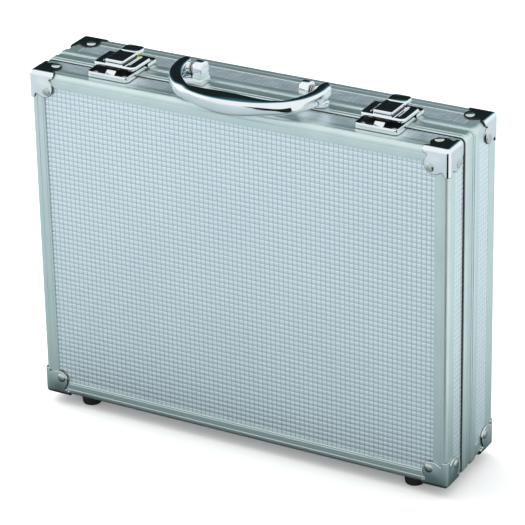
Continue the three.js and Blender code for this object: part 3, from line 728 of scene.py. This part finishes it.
def cup(half, y_open, y_end, radius, outer, inner):
    """A pressed cup, walled on three sides. outer and inner are the wall's (inset, z) from its lip to the
    roof and back. y_open may be a function of z."""
    way = 1 if (y_open(0) if callable(y_open) else y_open) > y_end else -1
    rings = []
    for amount, z in outer + inner:
        opened = y_open(z) if callable(y_open) else y_open
        path = u_path(half - amount, opened, y_end + way * amount, max(radius - amount, 0.15))
        rings.append([(x, y, z) for x, y in path])
    verts = [p for ring in rings for p in ring]
    count = len(rings[0])
    faces = skin_faces(rings, False, True)
    roof = len(outer) - 1
    faces = [f for f in faces if not (f[0] // count == roof and f[2] // count == roof + 1)]
    faces.append([roof * count + i for i in range(count)])
    faces.append([(roof + 1) * count + i for i in range(count)])
    faces.append([roof * count, roof * count + count - 1, (roof + 2) * count - 1, (roof + 1) * count])
    faces.append([j * count for j in range(len(rings))])
    faces.append([j * count + count - 1 for j in range(len(rings))])
    return verts, faces


def wall(half, y_open, y_end, radius, section):
    way = 1 if y_open > y_end else -1
    rings = []
    for amount, z in section:
        path = u_path(half - amount, y_open, y_end + way * amount, max(radius - amount, 0.15))
        rings.append([(x, y, z) for x, y in path])
    count = len(rings[0])
    faces = skin_faces(rings, False, True)
    faces.append([j * count for j in range(len(rings))])
    faces.append([j * count + count - 1 for j in range(len(rings))])
    return [p for ring in rings for p in ring], faces


TRAY_HALF = 18.5
TRAY_WALL = 4.9
TRAY_CORNER = 3.4
TRAY_FRONT = 32.8
TRAY_REAR = 15.8
LATCH_PIVOT = (-20.2, 6.4)


def tray(y_open, y_end):
    top = TRAY_WALL
    outer = [(0.5, top), (0.18, top - 0.1), (0, top - 0.4), (0, SEAT + 0.9), (0.25, SEAT + 0.3), (0.9, SEAT)]
    inner = [(1.8, SEAT + 0.8), (1.15, SEAT + 1.1), (0.9, SEAT + 1.7), (0.9, top - 0.25), (0.75, top - 0.05)]
    return cup(TRAY_HALF, y_open, y_end, TRAY_CORNER, outer, inner)


def eye(x, y, z, radius, foot):
    """A lug that carries a pin along x. One that stands on a tray leans back, clear of the plate."""
    if foot > z:
        outline = [(y - radius, foot)] + arc(y, z, radius, 180, 360, 10) + [(y + radius, foot)]
    else:
        outline = [(y + 3.4, foot), (y + 3.4, foot + 1)] + arc(y, z, radius, 0, 265, 12) + [(y + 0.3, foot)]
    return prism(outline, x, x + 1, 0.15, "x")


def strip_along(points, half, thick):
    """A bent strip across x, with its middle line in y and z."""
    rings = []
    last = len(points) - 1
    for i, (y, z) in enumerate(points):
        a, b = points[max(i - 1, 0)], points[min(i + 1, last)]
        along = Vector((b[0] - a[0], b[1] - a[1])).normalized()
        ny, nz = -along.y * thick / 2, along.x * thick / 2
        e = min(0.15, half / 4)
        rings.append(
            [
                (-half, y - ny * 0.6, z - nz * 0.6),
                (-half + e, y - ny, z - nz),
                (half - e, y - ny, z - nz),
                (half, y - ny * 0.6, z - nz * 0.6),
                (half, y + ny * 0.6, z + nz * 0.6),
                (half - e, y + ny, z + nz),
                (-half + e, y + ny, z + nz),
                (-half, y + ny * 0.6, z + nz * 0.6),
            ]
        )
    return loft(rings)


def latch_base():
    def opened(z):
        return -0.7 - 4.0 * max(z - SEAT - 1.1, 0) / (TRAY_WALL - SEAT - 1.1)

    skirt_end = -RIM_W["body"] - SEAL_LEVEL["body"] - 0.6
    skirt_section = [(0, 0.5), (0, SEAT + 1), (0.9, SEAT + 0.5), (0.9, 0.5)]
    skirt = wall(TRAY_HALF, skirt_end, -TRAY_FRONT, TRAY_CORNER, skirt_section)
    y, z = LATCH_PIVOT
    lugs = [eye(x, y, z, 1.5, SEAT + 0.8) for x in (-16.6, 15.6)]
    leaf = [(-30.6, 2.9), (-29.2, 2.95), (-27.8, 3.3), (-26.4, 4.1), (-25.4, 4.9), (-24.6, 5.3)]
    return merge(tray(opened, -TRAY_FRONT), skirt), merge(*lugs, strip_along(leaf, 4.2, 0.6))


def latch_keeper():
    bar = strip_along([(5.8, 2.2), (5.8, 3.2), (5.5, 4.4), (4.6, 5.1), (3.4, 5.2)], 6, 0.7)
    return tray(0.3, TRAY_REAR), bar


LEVER_HALF = 19.2
LEVER_TOP = 9.4
LEVER_FRONT = -22.6
LEVER_REAR = 2.6
PAD_HALF = 8.2
PAD_TOP = 12.9


DRAWN_DEPTH = 1.9  # of the bright band round a drawn edge


def rounded_lip(low, top, radius, thick):
    """Wall of a cup from its lip up to its roof, outside and inside."""
    outer = [(0.08, low), (0, low + 0.15), (0, top - DRAWN_DEPTH)]
    outer += [(radius - r * radius, top - radius + s * radius) for r, s in arc(0, 0, 1, 0, 90, 5)]
    inner = [(radius + 0.25, top - thick), (thick + 0.2, top - thick - 0.35), (thick, top - thick - 0.9)]
    inner += [(thick, low + 0.1)]
    return outer, inner


def latch_lever():
    drawn = rounded_lip(LEVER_TOP - 2.6, LEVER_TOP, 1.3, 0.7)
    plate = cup(LEVER_HALF, LEVER_REAR, LEVER_FRONT, 4.2, *drawn)
    rib = prism(rounded_rect(0.45, 8.5, 0.4), LEVER_TOP - 0.3, LEVER_TOP + 0.4, 0.2)
    ribs = [put(rib, x, -8.6, 0) for x in (-12, 12)]
    drawn = rounded_lip(LEVER_TOP - 0.5, PAD_TOP, 0.9, 0.7)
    pad = cup(PAD_HALF, 1.0, LEVER_FRONT + 1.5, 1.3, *drawn)
    tab = put(prism(rounded_rect(8.6, 6.9, 4.2), PAD_TOP - 2.9, PAD_TOP + 0.6, 0.9), 0.6, 7.2, 0)
    y, z = LATCH_PIVOT
    lugs = [eye(x, y, z, 1.7, LEVER_TOP - 0.5) for x in (-14.8, 13.8)]
    return merge(plate, *ribs, pad, tab, *lugs)


def darken_inside(made, x):
    """Painted shade: the inside of a tray takes the near-black look."""
    wall_t = 0.8
    front, rear = SPLIT - TRAY_FRONT + wall_t, SPLIT + TRAY_REAR - wall_t
    made.data.materials.append(LOOKS["painted_shade"])
    for face in made.data.polygons:
        at = face.center / MM
        inside = abs(at.x - x) < TRAY_HALF - wall_t and front < at.y < rear
        if inside and TOP + SEAT + 0.6 < at.z < TOP + TRAY_WALL - 0.1:
            face.material_index = 1


def darken_pad_sides(made, x):
    """Painted shade: the drawn sides of the pad take the near-black look below a bright band."""
    made.data.materials.append(LOOKS["painted_shade"])
    for face in made.data.polygons:
        at = face.center / MM
        beside = abs(face.normal.x) > 0.7 and PAD_HALF - 0.9 < abs(at.x - x) < PAD_HALF + 0.2
        if beside and TOP + LEVER_TOP < at.z < TOP + PAD_TOP - DRAWN_DEPTH:
            face.material_index = 1


def latches():
    rivet = dome(2.5, 1.3)
    rivet_z = SEAT + 1
    for across, sx in (("left", -1), ("right", 1)):
        x = sx * LATCH_X

        def here(shape, x=x):
            return put(shape, x, SPLIT, TOP)

        pan, fittings = latch_base()
        made = piece(f"latch_tray_{across}", here(pan), "body", "chrome", [f"latch_base_{across}"], 45)
        darken_inside(made, x)
        piece(f"latch_tray_fittings_{across}", here(fittings), "body", "chrome", (), 45)
        pan, bar = latch_keeper()
        keeper = f"latch_keeper_{across}"
        made = piece(f"latch_keeper_tray_{across}", here(pan), "lid", "chrome", [keeper], 45)
        darken_inside(made, x)
        piece(f"latch_keeper_bar_{across}", here(bar), "lid", "steel", (), 45)
        plate, lever = here(latch_lever()), f"latch_lever_{across}"
        made = piece(f"latch_plate_{across}", plate, f"lever_{across}", "chrome", [lever], 45)
        darken_pad_sides(made, x)
        heads = [put(rivet, head_x, -TRAY_FRONT + 5.2, rivet_z) for head_x in (-13.4, 13.4)]
        piece(f"latch_tray_rivets_{across}", here(merge(*heads)), "body", "steel")
        heads = [put(rivet, head_x, TRAY_REAR - 3.6, rivet_z) for head_x in (-14.9, 14.9)]
        piece(f"latch_keeper_rivets_{across}", here(merge(*heads)), "lid", "brass")
    # The stud's yellow is its plating, brightened as painted light against the shade under the tab.
    stud = lathe([(0, 9.6), (1.8, 9.6), (2.1, 9.9), (2.1, 11.4), (1.8, 11.7), (0, 11.7)], 24)
    piece("latch_tab_stud", put(stud, -LATCH_X + 7.2, SPLIT + 4.6, TOP), "lever_left", "zinc_and_painted_light")


# ---------------------------------------------------------------- handle
def catmull(points, steps):
    """A smooth line through the points."""
    made = []
    last = len(points) - 1
    for i in range(last):
        p = [Vector(points[min(max(i + k, 0), last)]) for k in (-1, 0, 1, 2)]
        for s in range(steps):
            t = s / steps
            made.append(
                0.5
                * (
                    2 * p[1]
                    + (p[2] - p[0]) * t
                    + (2 * p[0] - 5 * p[1] + 4 * p[2] - p[3]) * t * t
                    + (3 * p[1] - p[0] - 3 * p[2] + p[3]) * t * t * t
                )
            )
    made.append(Vector(points[-1]))
    return made


def bail():
    """The bent grip: flat-topped legs with round ends, and a swell for the palm."""
    one = BAIL_END + BAIL_BEND
    line = catmull(one + [(-x, y) for x, y in reversed(one[:-1])], 6)
    rings = []
    last = len(line) - 1
    for i, centre in enumerate(line):
        along = (line[min(i + 1, last)] - line[max(i - 1, 0)]).normalized()
        across = Vector((along.y, -along.x))
        swell = 0.5 + 0.5 * math.cos(math.pi * min(abs(centre.x) / BAIL_SWELL, 1))
        half_across = BAIL_ACROSS[0] + (BAIL_ACROSS[1] - BAIL_ACROSS[0]) * swell
        half_high = BAIL_HIGH[0] + (BAIL_HIGH[1] - BAIL_HIGH[0]) * swell
        if centre.y > 0:
            half_across *= math.sqrt(max(1 - (centre.y / 6.4) ** 2, 0.01))
        round_over = sum(math.exp(-((centre.x - place) ** 2) / spread) for place, spread in BAIL_ROUND)
        above, below = 2 / (5.5 - 3.2 * round_over), 2 / (2.25 + 0.35 * swell)
        ring = []
        for k in range(36):
            turn = 2 * math.pi * k / 36
            c, s = math.cos(turn), math.sin(turn)
            power = above if s > 0 else below
            a = half_across * math.copysign(abs(c) ** power, c)
            b = half_high * math.copysign(abs(s) ** power, s) * (0.86 if s > 0 else 1)
            ring.append((centre.x + across.x * a, centre.y + across.y * a, b))
        rings.append(ring)
    return loft(rings)


def barrel(x0, x1, radius, edge):
    """A round boss along x, with rounded ends."""
    half = (x1 - x0) / 2
    profile = [(0, -half), (radius - edge, -half), (radius - edge * 0.3, -half + edge * 0.3)]
    profile += [(radius, -half + edge), (radius, half - edge)]
    profile += [(radius - edge * 0.3, half - edge * 0.3), (radius - edge, half), (0, half)]
    return put(turned(lathe(profile, 40), (1, 0, 0)), (x0 + x1) / 2, 0, 0)


def bracket_post():
    """Upright with a rounded top and a groove round it."""
    rings = []
    levels = [(BRACKET_LOW, 0), (-3.6, 0), (-3.3, 0.5), (-2.7, 0.5), (-2.4, 0), (0, 0)]
    for z, amount in levels:
        outline = rounded_rect(POST_HALF_X - amount, POST_HALF_Y - amount, 1.3)
        rings.append([(POST_X + x, y, z) for x, y in outline])
    for i in range(1, 13):
        turn = math.radians(88 * i / 12)
        wide, high = math.cos(turn) ** 0.85, math.sin(turn) ** 0.85
        outline = rounded_rect(POST_HALF_X - 0.9 * (1 - math.cos(turn)), POST_HALF_Y * wide, 1.3)
        rings.append([(POST_X + x, y, POST_HALF_Y * high) for x, y in outline])
    return loft(rings)


def bracket_foot():
    inner = POST_X - POST_HALF_X - 0.2
    outline = arc(FOOT_END - FOOT_HALF_Y, 0, FOOT_HALF_Y, -90, 90, 14)
    outline += [(inner, FOOT_HALF_Y), (inner, -FOOT_HALF_Y)]
    return prism(outline, BRACKET_LOW, FOOT_TOP, 1.0)


def handle_parts():
    y, z = HANDLE_PIVOT.y, HANDLE_PIVOT.z
    droop = Matrix.Rotation(math.radians(BAIL_DROOP), 3, "X")
    grip = merge(bail(), barrel(55.6, 58.2, 4.6, 0.6), barrel(-58.2, -55.6, 4.6, 0.6))
    grip = moved(grip, lambda px, py, pz: tuple(droop @ Vector((px, py, pz))))
    piece("handle_grip", put(grip, 0, y, z), "handle", "chrome", ["handle"], 50)
    mount = merge(bracket_foot(), bracket_post())
    discs = [barrel(x, x + 0.9, radius, 0.25) for x, radius in ((52.0, 4.2), (53.3, 3.5), (54.6, 4.2))]
    for across, sx in (("left", -1), ("right", 1)):

        def here(shape, sx=sx):
            return put(moved(shape, lambda px, py, pz: (sx * px, py, pz)), 0, y, z)

        node = f"handle_bracket_{across}"
        piece(f"handle_mount_{across}", here(mount), "body", "chrome", [node], 45)
        piece(f"handle_washers_{across}", here(merge(*discs)), "body", "steel")


# ---------------------------------------------------------------- inside
STEEL_BEVELS = {
    "hinge_body_leaf": 0.2,
    "hinge_lid_leaf": 0.2,
    "hinge_pin": 0.2,
    "latch_pin": 0.15,
    "latch_hook": 0.15,
    "latch_spring": 0.05,
    "handle_pin": 0.4,
    "stay_body_arm": 0.25,
    "stay_lid_arm": 0.25,
    "stay_lid_stud": 0.25,
}


def soft_copy(name, node, body, voxel, rounds):
    """A foam piece from its CAD solid, with every edge softened. The voxel is in metres."""
    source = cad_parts[node]
    mesh = source.data.copy()
    mesh.materials.clear()
    made = bpy.data.objects.new(name, mesh)
    bpy.context.scene.collection.objects.link(made)
    remesh = made.modifiers.new("grid", "REMESH")
    remesh.mode = "VOXEL"
    remesh.voxel_size = voxel
    smooth = made.modifiers.new("soften", "SMOOTH")
    smooth.iterations = rounds
    smooth.factor = 0.5
    graph = bpy.context.evaluated_depsgraph_get()
    done = bpy.data.meshes.new_from_object(made.evaluated_get(graph))
    made.modifiers.clear()
    made.data = done
    done.polygons.foreach_set("use_smooth", [True] * len(done.polygons))
    done.materials.clear()
    done.materials.append(LOOKS["foam"])
    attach(made, body)
    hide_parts(node)
    return made


def keep_with(node, look, bevel):
    """A CAD node that is shown as it is, with rounded edges and its own finish."""
    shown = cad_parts[node]
    shown.data.materials.clear()
    shown.data.materials.append(LOOKS[look])
    edge = shown.modifiers.new("edge", "BEVEL")
    edge.width = bevel * MM
    edge.segments = 2
    edge.limit_method = "ANGLE"
    edge.angle_limit = math.radians(40)
    shown.data.polygons.foreach_set("use_smooth", [True] * len(shown.data.polygons))
    shown.data.set_sharp_from_angle(angle=math.radians(40))


# ---------------------------------------------------------------- the object
for half_name in ("body", "lid"):
    shell_half(half_name)
    corners(half_name)
    feet(half_name)
latches()
handle_parts()
soft_copy("foam_insert_soft", "foam_insert", "body", voxel=0.0022, rounds=3)
soft_copy("lid_pad_soft", "lid_pad", "lid", voxel=0.0026, rounds=3)
for node_name, bevel_mm in STEEL_BEVELS.items():
    for side_name in ("left", "right"):
        keep_with(f"{node_name}_{side_name}", "steel", bevel_mm)


# ---------------------------------------------------------------- studio, in metres
TOWARDS_CAMERA = Vector((0.4411, -0.7875, 0.4304)).normalized()
CAMERA_AZIMUTH = 29.254  # degrees to the right of the front
CAMERA_ROLL = -1.2176
CAMERA_DISTANCE = 2.423
CAMERA_AIM = Vector((1.05, SPLIT - DEPTH + 40.8, 150.2)) * MM
LENS = 206.93
FLOOR_HALF = 3.0
FLOOR_GLOW = 0.18
SHADE_BOX = (("X", 0.185), ("Y", 0.045))  # half sizes of what shades the floor

# What mirror-like surfaces see of the floor, by the distance from the case.
FLOOR_SHADES = [
    (0.0, (0.02, 0.03, 0.03)),
    (0.02, (0.14, 0.20, 0.205)),
    (0.05, (0.31, 0.395, 0.41)),
    (0.12, (0.40, 0.49, 0.52)),
    (0.24, (0.52, 0.61, 0.64)),
    (0.5, (0.58, 0.69, 0.73)),
    (1.0, (0.80, 0.88, 0.92)),
]
# The dark card's colour, by the distance from its middle.
DUSK = [
    (0.33, (0.012, 0.017, 0.019)),
    (0.55, (0.06, 0.18, 0.23)),
    (0.75, (0.20, 0.44, 0.52)),
    (1.0, (0.6, 0.90, 0.97)),
]
# Flat areas over the floor that only reflections show: name, outline, height, colour.
PATCHES = [
    (
        "bright_floor",
        [(0.30, -0.12), (2.4, -2.1), (3.0, 0.2), (1.2, 1.3), (0.32, 0.20)],
        0.001,
        (0.94, 0.98, 1),
    ),
    (
        "dusk_floor",
        [(-0.95, 0.7), (-0.22, 0.06), (-0.12, 0.1), (-0.1, 0.62), (-0.05, 0.9), (-0.6, 1.2)],
        0.0012,
        (0.03, 0.045, 0.045),
    ),
    (
        "dark_floor",
        [(0.20, -0.12), (0.29, -0.12), (2.6, -1.9), (0.16, -1.9)],
        0.0015,
        (0.01, 0.012, 0.013),
    ),
]


def emission(name, colour, strength=1.0):
    made = bpy.data.materials.new(name)
    made.use_nodes = True
    tree = made.node_tree
    tree.nodes.clear()
    glow = add_node(tree, "ShaderNodeEmission", Color=(*colour, 1), Strength=strength)
    out = tree.nodes.new("ShaderNodeOutputMaterial")
    tree.links.new(glow.outputs["Emission"], out.inputs["Surface"])
    return made, tree, glow


def calculate(tree, operation, *values):
    """The result of a Math node. Each value is a socket or a number."""
    made = add_node(tree, "ShaderNodeMath", operation=operation)
    for socket, value in zip(made.inputs, values):
        if isinstance(value, float):
            socket.default_value = value
        else:
            tree.links.new(value, socket)
    return made.outputs[0]


def flat(name, points, z=0.0):
    """One flat face over the floor."""
    mesh = bpy.data.meshes.new(name)
    mesh.from_pydata([(x, y, z) for x, y in points], [], [list(range(len(points)))])
    made = bpy.data.objects.new(name, mesh)
    bpy.context.scene.collection.objects.link(made)
    return made


def rectangle(half_x, half_y):
    return [(-half_x, -half_y), (half_x, -half_y), (half_x, half_y), (-half_x, half_y)]


def only_in_reflections(made):
    made.visible_camera = False
    made.visible_diffuse = False
    made.visible_shadow = False
    made.visible_transmission = False
    made.visible_volume_scatter = False


def card(name, centre, facing, wide, high, colour, strength=1.0):
    """A flat card that only mirror-like rays see."""
    made = flat(name, rectangle(wide / 2, high / 2))
    made.location = centre
    made.rotation_euler = Vector(facing).to_track_quat("Z", "Y").to_euler()
    made.data.materials.append(emission(name, colour, strength)[0])
    only_in_reflections(made)
    return made


def fade_edges(made, wide, high, stops):
    """The card's colour changes outwards from its middle, and it ends at an ellipse of these half sizes."""
    tree = made.data.materials[0].node_tree
    place = tree.nodes.new("ShaderNodeTexCoord")
    scaled = tree.nodes.new("ShaderNodeMapping")
    scaled.inputs["Scale"].default_value = (1 / wide, 1 / high, 1)
    tree.links.new(place.outputs["Object"], scaled.inputs["Vector"])
    reach = add_node(tree, "ShaderNodeVectorMath", operation="LENGTH")
    tree.links.new(scaled.outputs["Vector"], reach.inputs[0])
    share = ramp(tree, reach.outputs["Value"], [(0.9, grey(0)), (1.0, grey(1))])
    shade = ramp(tree, reach.outputs["Value"], stops)
    tree.links.new(shade, tree.nodes["Emission"].inputs["Color"])
    mix = tree.nodes.new("ShaderNodeMixShader")
    clear = tree.nodes.new("ShaderNodeBsdfTransparent")
    out = tree.nodes["Material Output"]
    glow = out.inputs["Surface"].links[0].from_socket
    tree.links.new(share, mix.inputs["Fac"])
    tree.links.new(glow, mix.inputs[1])
    tree.links.new(clear.outputs["BSDF"], mix.inputs[2])
    tree.links.new(mix.outputs["Shader"], out.inputs["Surface"])


def paper_floor():
    floor = flat("floor", rectangle(FLOOR_HALF, FLOOR_HALF))
    paper, _, shader = new_material("floor_paper", 0.0, 0.9, 0.0)
    shader.inputs["Base Color"].default_value = (0.97, 0.96, 0.95, 1)
    shader.inputs["Emission Color"].default_value = (1, 0.985, 0.98, 1)
    shader.inputs["Emission Strength"].default_value = FLOOR_GLOW
    floor.data.materials.append(paper)
    floor.visible_glossy = False


def mirrored_floor():
    """The floor as reflections show it: dark under the case and lighter away from it."""
    floor = flat("floor_in_reflections", rectangle(FLOOR_HALF, FLOOR_HALF), 0.0004)
    material, tree, glow = emission("floor_glow", (1, 1, 1))
    place = tree.nodes.new("ShaderNodeNewGeometry")
    split = tree.nodes.new("ShaderNodeSeparateXYZ")
    tree.links.new(place.outputs["Position"], split.inputs["Vector"])
    squares = []
    for axis, half_size in SHADE_BOX:
        beyond = calculate(tree, "SUBTRACT", calculate(tree, "ABSOLUTE", split.outputs[axis]), half_size)
        squares.append(calculate(tree, "POWER", calculate(tree, "MAXIMUM", beyond, 0.0), 2.0))
    distance = calculate(tree, "SQRT", calculate(tree, "ADD", *squares))
    tree.links.new(ramp(tree, distance, FLOOR_SHADES), glow.inputs["Color"])
    floor.data.materials.append(material)
    only_in_reflections(floor)


def reflected_cards():
    away = (TOWARDS_CAMERA.x, TOWARDS_CAMERA.y, -TOWARDS_CAMERA.z)
    behind = card("dark_behind", (-1.35, 2.36, 1.29), away, 5.6, 4.6, DUSK[0][1])
    fade_edges(behind, 2.7, 2.1, DUSK)
    card("bright_left", (-2.4, -0.6, 1.2), (0.9, 0.2, -0.3), 1.6, 2.0, (1, 1, 1), 1.5)
    for name, outline, height, colour in PATCHES:
        made = flat(name, outline, height)
        made.data.materials.append(emission(name, colour)[0])
        only_in_reflections(made)


def light():
    world = bpy.data.worlds.new("studio")
    bpy.context.scene.world = world
    world.use_nodes = True
    sky = world.node_tree.nodes["Background"]
    sky.inputs["Color"].default_value = (0.97, 0.99, 1.0, 1)
    sky.inputs["Strength"].default_value = 1.0

    key = bpy.data.lights.new("key", "AREA")
    key.energy = 32
    key.size = 2.4
    lamp = bpy.data.objects.new("key", key)
    lamp.location = (-1.5, 0.25, 2.1)
    aim = Vector((0, 0, 0.15))
    lamp.rotation_euler = (Vector(lamp.location) - aim).to_track_quat("Z", "Y").to_euler()
    lamp.visible_glossy = False
    bpy.context.scene.collection.objects.link(lamp)


def camera():
    azimuth = math.radians(CAMERA_AZIMUTH)
    right = Vector((math.cos(azimuth), math.sin(azimuth), 0))
    up = TOWARDS_CAMERA.cross(right)
    roll = math.radians(CAMERA_ROLL)
    x_axis = right * math.cos(roll) + up * math.sin(roll)
    y_axis = -right * math.sin(roll) + up * math.cos(roll)
    data = bpy.data.cameras.new("camera")
    data.lens = LENS
    data.sensor_width = 36
    data.clip_end = 50
    made = bpy.data.objects.new("camera", data)
    bpy.context.scene.collection.objects.link(made)
    turn = Matrix((x_axis, y_axis, TOWARDS_CAMERA)).transposed().to_4x4()
    made.matrix_world = Matrix.Translation(CAMERA_AIM + TOWARDS_CAMERA * CAMERA_DISTANCE) @ turn
    bpy.context.scene.camera = made


paper_floor()
mirrored_floor()
reflected_cards()
light()
camera()
bpy.context.scene.view_settings.view_transform = "Standard"
